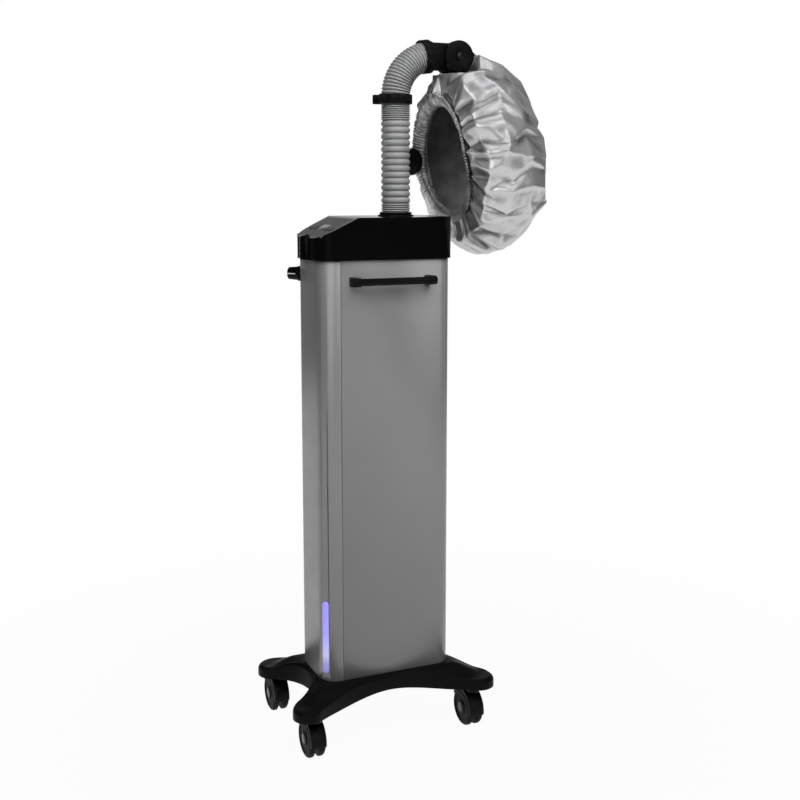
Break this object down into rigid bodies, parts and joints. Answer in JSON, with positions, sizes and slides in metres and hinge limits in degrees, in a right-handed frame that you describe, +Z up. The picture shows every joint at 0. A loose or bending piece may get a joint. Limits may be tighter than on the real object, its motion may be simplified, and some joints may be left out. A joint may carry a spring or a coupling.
{
  "type": "hair steamer",
  "caption": "Floor-standing salon hair steamer: slim column on a rolling four-armed base, sloping control head, ribbed hose and hanging foil bonnet.",
  "frame": {"origin": "on the floor, under the middle of the whole outline", "axes": "+Z up, -Y to the control panel, +Y to the bonnet, +X to the side with the light strip"},
  "size_m": [0.3572, 0.5622, 1.3797],
  "materials": {
    "black_satin": "satin black moulding",
    "black_gloss": "gloss black moulding",
    "silver_shell": "satin grey metallic paint",
    "panel_dark": "matt dark grey",
    "key_dark": "soft-touch",
    "window_glass": "smoked window",
    "lens_violet": "lit diffuser",
    "steel": "plain steel",
    "cast_weight": "painted weight",
    "tyre_black": "caster tread",
    "tank_clear": "translucent tank",
    "cap_blue": "moulded cap",
    "board_green": "circuit board",
    "tube_clear": "silicone tube",
    "brass": "turned brass",
    "motor_grey": "moulded housing",
    "impeller_white": "moulded",
    "switch_red": "rocker",
    "hose_grey": "ribbed grey hose",
    "foil": "metallised fabric",
    "foil_band": "gathered elastic band"
  },
  "bodies": {
    "stand": {"base_casting": "black_satin", "ballast_plate": "cast_weight", "stem_sockets": "steel", "base_screws": "steel", "floor_plate": "steel", "chassis": "steel", "front_shell": "silver_shell", "side_panel_right": "silver_shell", "side_panel_left": "silver_shell", "rear_panel": "silver_shell", "panel_screws": "steel", "handle_right": "black_satin", "handle_left": "black_satin", "level_lens": "lens_violet", "light_board": "board_green", "power_inlet": "black_satin", "switch_frame": "black_satin", "pump": "motor_grey", "feed_tube": "tube_clear", "boiler_body": "steel", "boiler_lid": "steel", "heating_element": "steel", "steam_duct": "motor_grey", "blower_housing": "motor_grey", "blower_motor": "motor_grey", "power_board": "board_green", "head_shell": "black_gloss", "control_panel": "panel_dark", "display_window": "window_glass", "control_board": "board_green", "flow_valve": "brass", "hose_socket": "black_satin"},
    "yoke_fr": {"caster_yoke_fr": "black_satin"},
    "wheels_fr": {"caster_wheels_fr": "tyre_black"},
    "yoke_fl": {"caster_yoke_fl": "black_satin"},
    "wheels_fl": {"caster_wheels_fl": "tyre_black"},
    "yoke_rr": {"caster_yoke_rr": "black_satin"},
    "wheels_rr": {"caster_wheels_rr": "tyre_black"},
    "yoke_rl": {"caster_yoke_rl": "black_satin"},
    "wheels_rl": {"caster_wheels_rl": "tyre_black"},
    "tank": {"water_tank": "tank_clear", "tank_front": "silver_shell"},
    "tank_cap": {"tank_cap": "cap_blue"},
    "rocker": {"rocker_switch": "switch_red"},
    "key_power": {"key_power": "key_dark"},
    "key_less": {"key_less": "key_dark"},
    "key_more": {"key_more": "key_dark"},
    "key_light": {"key_light": "key_dark"},
    "flow_knob": {"flow_knob": "black_satin"},
    "impeller": {"impeller": "impeller_white"},
    "arm": {"hose_root": "black_satin", "hose": "hose_grey", "hose_clip": "black_satin", "hose_cuff": "black_satin", "elbow": "black_satin", "pivot_bolt": "steel"},
    "bonnet": {"bonnet_yoke": "black_satin", "bonnet": "foil", "bonnet_band": "foil_band", "bonnet_plug": "black_satin"}
  },
  "joints": [
    {"name": "caster_swivel_fr", "type": "hinge", "parent": "stand", "child": "yoke_fr", "pos_m": [0.112, -0.23712, 0.096], "axis": [0, 0, 1], "continuous": true},
    {"name": "wheel_roll_fr", "type": "hinge", "parent": "yoke_fr", "child": "wheels_fr", "pos_m": [0.092, -0.23712, 0.0375], "axis": [0, 1, 0], "continuous": true},
    {"name": "caster_swivel_fl", "type": "hinge", "parent": "stand", "child": "yoke_fl", "pos_m": [-0.112, -0.23712, 0.096], "axis": [0, 0, 1], "continuous": true},
    {"name": "wheel_roll_fl", "type": "hinge", "parent": "yoke_fl", "child": "wheels_fl", "pos_m": [-0.132, -0.23712, 0.0375], "axis": [0, 1, 0], "continuous": true},
    {"name": "caster_swivel_rr", "type": "hinge", "parent": "stand", "child": "yoke_rr", "pos_m": [0.112, 0.10288, 0.096], "axis": [0, 0, 1], "continuous": true},
    {"name": "wheel_roll_rr", "type": "hinge", "parent": "yoke_rr", "child": "wheels_rr", "pos_m": [0.092, 0.10288, 0.0375], "axis": [0, 1, 0], "continuous": true},
    {"name": "caster_swivel_rl", "type": "hinge", "parent": "stand", "child": "yoke_rl", "pos_m": [-0.112, 0.10288, 0.096], "axis": [0, 0, 1], "continuous": true},
    {"name": "wheel_roll_rl", "type": "hinge", "parent": "yoke_rl", "child": "wheels_rl", "pos_m": [-0.132, 0.10288, 0.0375], "axis": [0, 1, 0], "continuous": true},
    {"name": "tank_slide", "type": "slide", "parent": "stand", "child": "tank", "axis": [0, 1, 0], "range_m": [0, 0.18]},
    {"name": "tank_cap_turn", "type": "hinge", "parent": "tank", "child": "tank_cap", "pos_m": [0, -0.00712, 0.296], "axis": [0, 0, 1], "range_deg": [0, 60]},
    {"name": "rocker_tilt", "type": "hinge", "parent": "stand", "child": "rocker", "pos_m": [0, 0.06488, 0.418], "axis": [1, 0, 0], "range_deg": [-10, 10]},
    {"name": "key_power_press", "type": "slide", "parent": "stand", "child": "key_power", "axis": [0, 0.4384, -0.8988], "range_m": [0, 0.0012], "stiffness_N_per_m": 800},
    {"name": "key_less_press", "type": "slide", "parent": "stand", "child": "key_less", "axis": [0, 0.4384, -0.8988], "range_m": [0, 0.0012], "stiffness_N_per_m": 800},
    {"name": "key_more_press", "type": "slide", "parent": "stand", "child": "key_more", "axis": [0, 0.4384, -0.8988], "range_m": [0, 0.0012], "stiffness_N_per_m": 800},
    {"name": "key_light_press", "type": "slide", "parent": "stand", "child": "key_light", "axis": [0, 0.4384, -0.8988], "range_m": [0, 0.0012], "stiffness_N_per_m": 800},
    {"name": "flow_knob_turn", "type": "hinge", "parent": "stand", "child": "flow_knob", "pos_m": [-0.06446, -0.19258, 0.926], "axis": [-0.7071, -0.7071, 0], "range_deg": [0, 270]},
    {"name": "impeller_spin", "type": "hinge", "parent": "stand", "child": "impeller", "pos_m": [0, -0.11912, 0.84], "axis": [0, 0, 1], "continuous": true},
    {"name": "hose_swivel", "type": "hinge", "parent": "stand", "child": "arm", "pos_m": [0, -0.01912, 1.038], "axis": [0, 0, 1], "range_deg": [-90, 90]},
    {"name": "bonnet_tilt", "type": "hinge", "parent": "arm", "child": "bonnet", "pos_m": [0, 0.10409, 1.3478], "axis": [1, 0, 0], "range_deg": [0, 35]}
  ]
}
